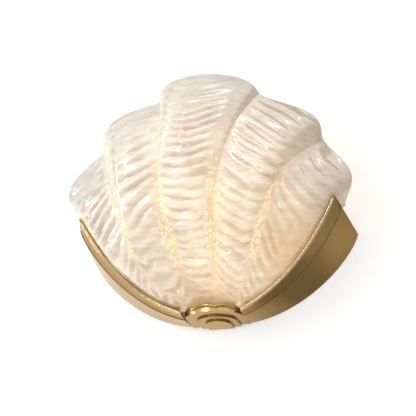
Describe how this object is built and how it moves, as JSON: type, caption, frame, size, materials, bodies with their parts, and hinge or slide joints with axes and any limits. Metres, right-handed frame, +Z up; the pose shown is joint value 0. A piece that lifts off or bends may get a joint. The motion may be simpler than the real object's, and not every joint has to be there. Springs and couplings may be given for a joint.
{
  "type": "wall sconce",
  "caption": "Shell-shaped wall sconce: a ribbed opal glass shell seated in a brass cradle with a stepped boss, lit by a small screw-cap bulb on a wall plate.",
  "frame": {"origin": "on the wall, on the centre line of the cradle, at the height of the shell's heel", "axes": "+X to the viewer's right, +Z up, +Y into the wall; the wall is the plane y = 0"},
  "size_m": [0.3067, 0.1145, 0.252],
  "materials": {
    "opal_glass": "thick opalescent pressed glass, glossy and ribbed",
    "brass": "polished brass with a soft satin sheen",
    "plate_steel": "zinc-plated steel sheet",
    "screw_brass": "bright brass",
    "screw_steel": "zinc-plated steel",
    "silicone": "translucent silicone",
    "holder_plastic": "moulded off-white plastic",
    "contact_brass": "spring brass",
    "terminal_plastic": "moulded white polyamide",
    "grommet_rubber": "black rubber",
    "bulb_metal": "spun aluminium",
    "bulb_black": "black vitrite",
    "bulb_glass": "clear warm-tinted glass",
    "filament": "warm yellow phosphor coating",
    "wire_brown": "brown insulation",
    "wire_blue": "blue insulation",
    "wire_earth": "green and yellow insulation"
  },
  "bodies": {
    "fixture": {"right_wing": "brass", "left_wing": "brass", "centre_boss": "brass", "wall_plate": "plate_steel", "wing_screws": "screw_brass", "boss_screws": "screw_brass", "shade_pads": "silicone", "holder_bracket": "plate_steel", "bracket_screws": "screw_steel", "lamp_holder": "holder_plastic", "socket_shell": "contact_brass", "socket_contact": "contact_brass", "holder_nipple": "screw_brass", "holder_locknut": "screw_brass", "terminal_block": "terminal_plastic", "terminal_clamps": "contact_brass", "terminal_clamp_screws": "screw_steel", "terminal_fixing_screws": "screw_steel", "cable_grommet": "grommet_rubber", "earth_lug": "contact_brass", "earth_washer": "screw_steel", "earth_screw": "screw_brass", "live_wire": "wire_brown", "neutral_wire": "wire_blue", "earth_wire": "wire_earth"},
    "shade": {"glass_shell": "opal_glass"},
    "bulb_thread": {"bulb_tip_contact": "bulb_metal"},
    "bulb": {"bulb_cap": "bulb_metal", "bulb_insulator": "bulb_black", "bulb_envelope": "bulb_glass", "bulb_stem": "bulb_glass", "bulb_filaments": "filament"}
  },
  "joints": [
    {"name": "shade_lift", "type": "slide", "parent": "fixture", "child": "shade", "axis": [0, -0.7659, 0.6429], "range_m": [0, 0.04]},
    {"name": "bulb_rise", "type": "slide", "parent": "fixture", "child": "bulb_thread", "axis": [0, 0, 1], "range_m": [0, 0.0142]},
    {"name": "bulb_turn", "type": "hinge", "parent": "bulb_thread", "child": "bulb", "pos_m": [-0.002, -0.038, 0.045], "axis": [0, 0, 1], "range_deg": [0, 1800]}
  ],
  "couplings": [
    {"joint": "bulb_rise", "follows": "bulb_turn", "m_per_rad": 0.00044914}
  ]
}
